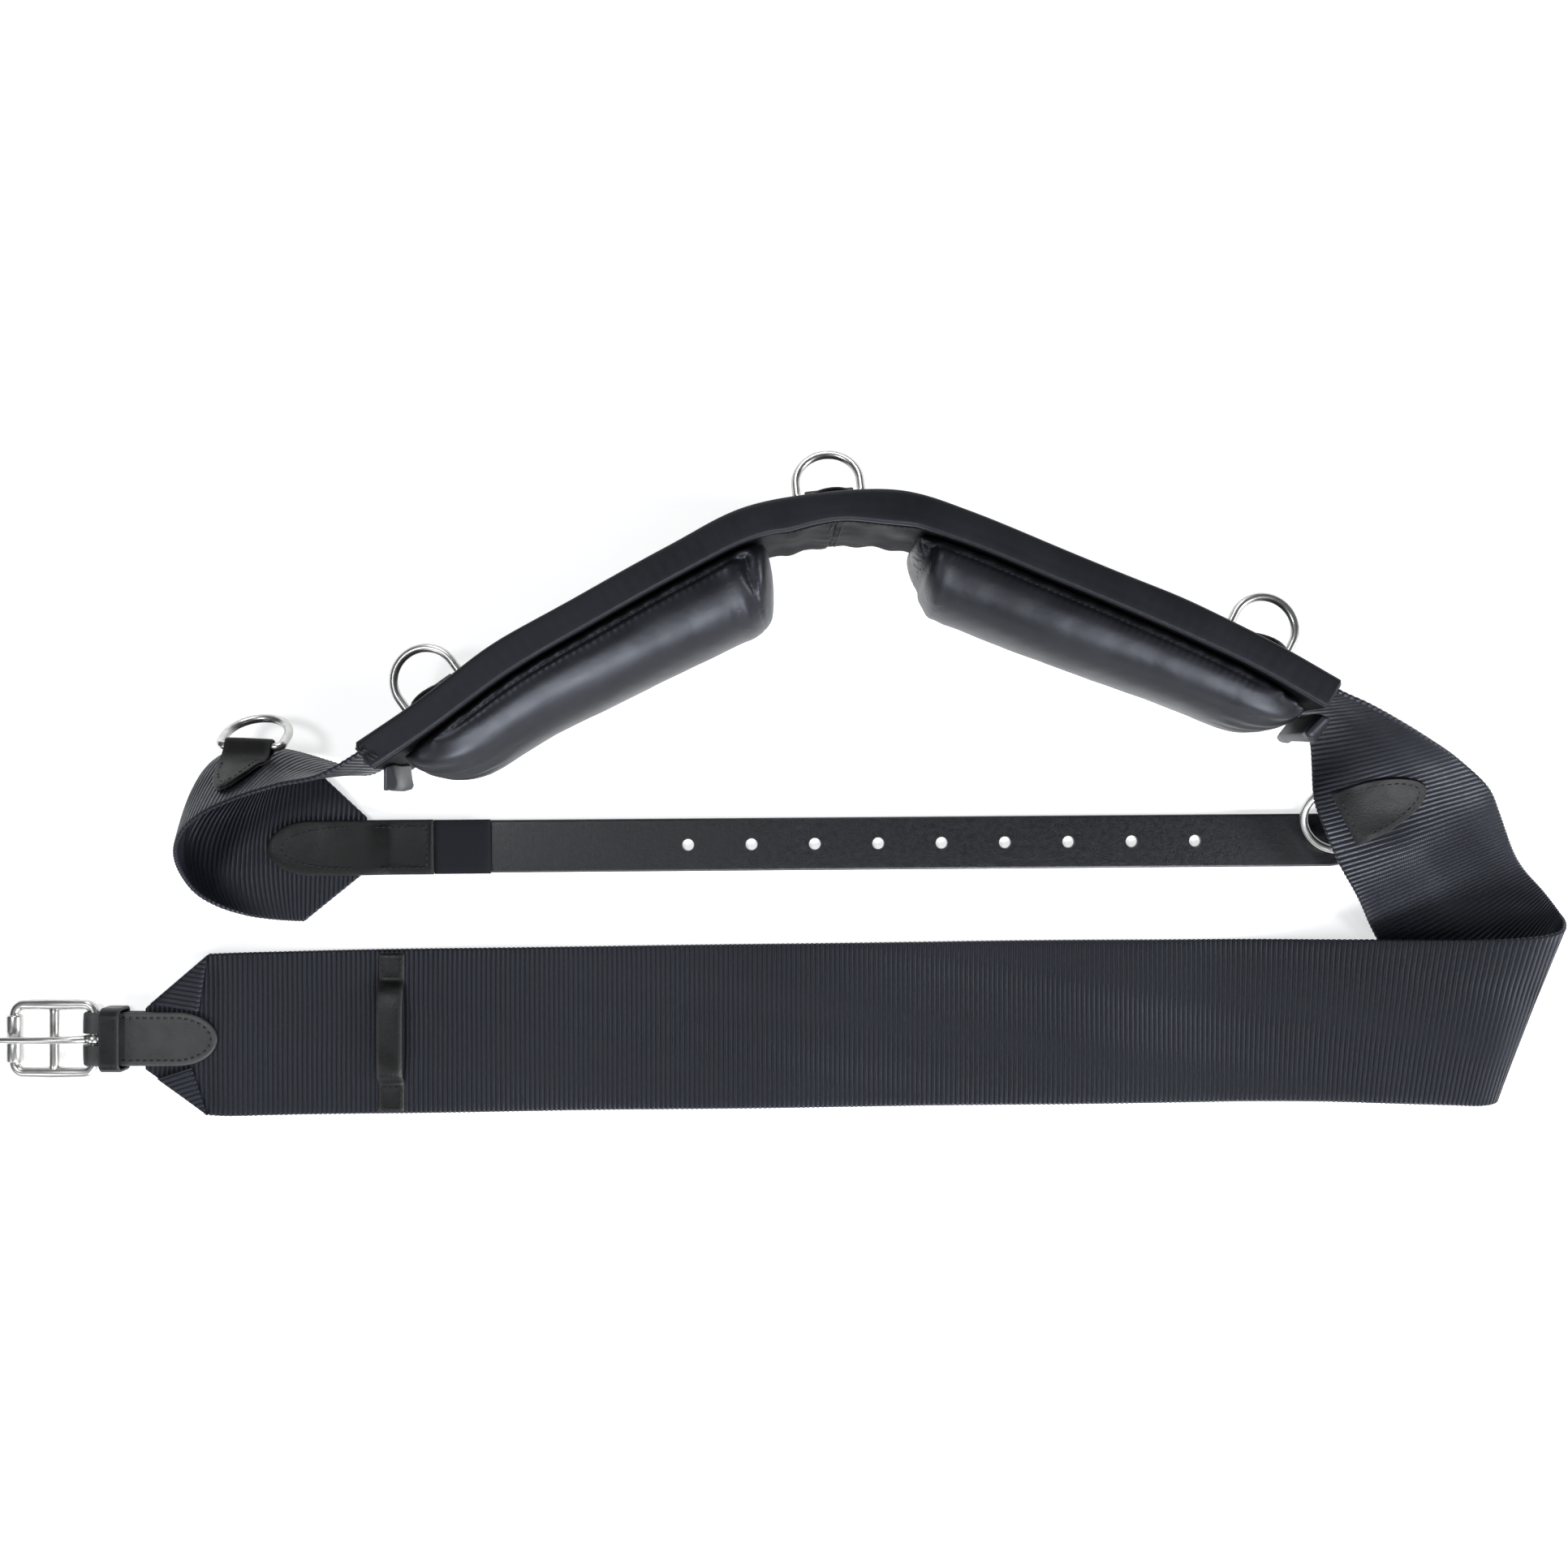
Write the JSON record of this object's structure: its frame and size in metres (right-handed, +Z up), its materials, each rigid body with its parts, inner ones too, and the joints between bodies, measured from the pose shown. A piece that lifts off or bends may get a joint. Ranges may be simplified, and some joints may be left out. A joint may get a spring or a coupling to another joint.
{
  "type": "surcingle",
  "caption": "Padded webbing training surcingle laid flat: bridge with two pads, rein rings on stitched tabs, a girth strap with punched holes and a roller buckle.",
  "frame": {"origin": "middle of the footprint, on the surface it lies on", "axes": "+X along the laid-out length towards the webbing's return fold, +Y towards the centre ring, +Z up"},
  "size_m": [0.934, 0.39, 0.1042],
  "materials": {
    "webbing": "woven, ribbed across, slight sheen",
    "cover_vinyl": "satin grained",
    "lining_vinyl": "satin grained",
    "pad_vinyl": "soft satin",
    "leather": "satin grained",
    "foam": "open-cell foam",
    "nickel": "bright nickel plate"
  },
  "bodies": {
    "surcingle": {"outer_cover": "cover_vinyl", "core_foam": "foam", "inner_lining_left": "lining_vinyl", "inner_lining_right": "lining_vinyl", "left_pad_cover": "pad_vinyl", "left_pad_filling": "foam", "right_pad_cover": "pad_vinyl", "right_pad_filling": "foam", "left_pad_end_tab": "pad_vinyl", "right_pad_end_tab": "pad_vinyl", "short_web": "webbing", "long_web": "webbing", "web_keeper": "leather", "d_ring_tab_left_pad": "leather", "d_ring_tab_centre": "leather", "d_ring_tab_right_pad": "leather", "d_ring_tab_left_web": "leather", "d_ring_tab_right_web": "leather", "d_ring_backing_left_web": "leather", "d_ring_backing_right_web": "leather", "billet_strap": "leather", "billet_patch": "leather", "billet_splice_band": "leather", "buckle_chape": "leather"},
    "left_pad_ring": {"d_ring_left_pad": "nickel"},
    "centre_ring": {"d_ring_centre": "nickel"},
    "right_pad_ring": {"d_ring_right_pad": "nickel"},
    "left_web_ring": {"d_ring_left_web": "nickel"},
    "right_web_ring": {"d_ring_right_web": "nickel"},
    "buckle": {"buckle_frame": "nickel"},
    "tongue": {"buckle_tongue": "nickel"},
    "roller": {"buckle_roller": "nickel"},
    "sliding_keeper": {"buckle_keeper": "leather"}
  },
  "joints": [
    {"name": "left_pad_ring_swing", "type": "hinge", "parent": "surcingle", "child": "left_pad_ring", "pos_m": [-0.19175, 0.05431, 0.05216], "axis": [0.8061, 0.5918, 0], "range_deg": [-85, 80]},
    {"name": "centre_ring_swing", "type": "hinge", "parent": "surcingle", "child": "centre_ring", "pos_m": [0.03273, 0.16635, 0.05216], "axis": [0.9952, 0.0978, 0], "range_deg": [-68, 97]},
    {"name": "right_pad_ring_swing", "type": "hinge", "parent": "surcingle", "child": "right_pad_ring", "pos_m": [0.27603, 0.08325, 0.05216], "axis": [0.8828, -0.4697, 0], "range_deg": [-80, 85]},
    {"name": "left_web_ring_swing", "type": "hinge", "parent": "surcingle", "child": "left_web_ring", "pos_m": [-0.29926, 0.02479, 0.04717], "axis": [0.9943, -0.0423, 0.0976], "range_deg": [-8, 140]},
    {"name": "right_web_ring_swing", "type": "hinge", "parent": "surcingle", "child": "right_web_ring", "pos_m": [0.34125, -0.01673, 0.02412], "axis": [0.2548, -0.9416, -0.2201], "range_deg": [-3.5, 12]},
    {"name": "buckle_swing", "type": "hinge", "parent": "surcingle", "child": "buckle", "pos_m": [-0.40468, -0.14875, 0.00746], "axis": [0, 1, 0], "range_deg": [-5, 35]},
    {"name": "tongue_swing", "type": "hinge", "parent": "buckle", "child": "tongue", "pos_m": [-0.40468, -0.14875, 0.00746], "axis": [0, 1, 0], "range_deg": [0, 40]},
    {"name": "roller_spin", "type": "hinge", "parent": "buckle", "child": "roller", "pos_m": [-0.45218, -0.14875, 0.00746], "axis": [0, 1, 0], "continuous": true},
    {"name": "keeper_slide", "type": "slide", "parent": "surcingle", "child": "sliding_keeper", "axis": [1, 0, 0], "range_m": [0, 0.01]}
  ]
}
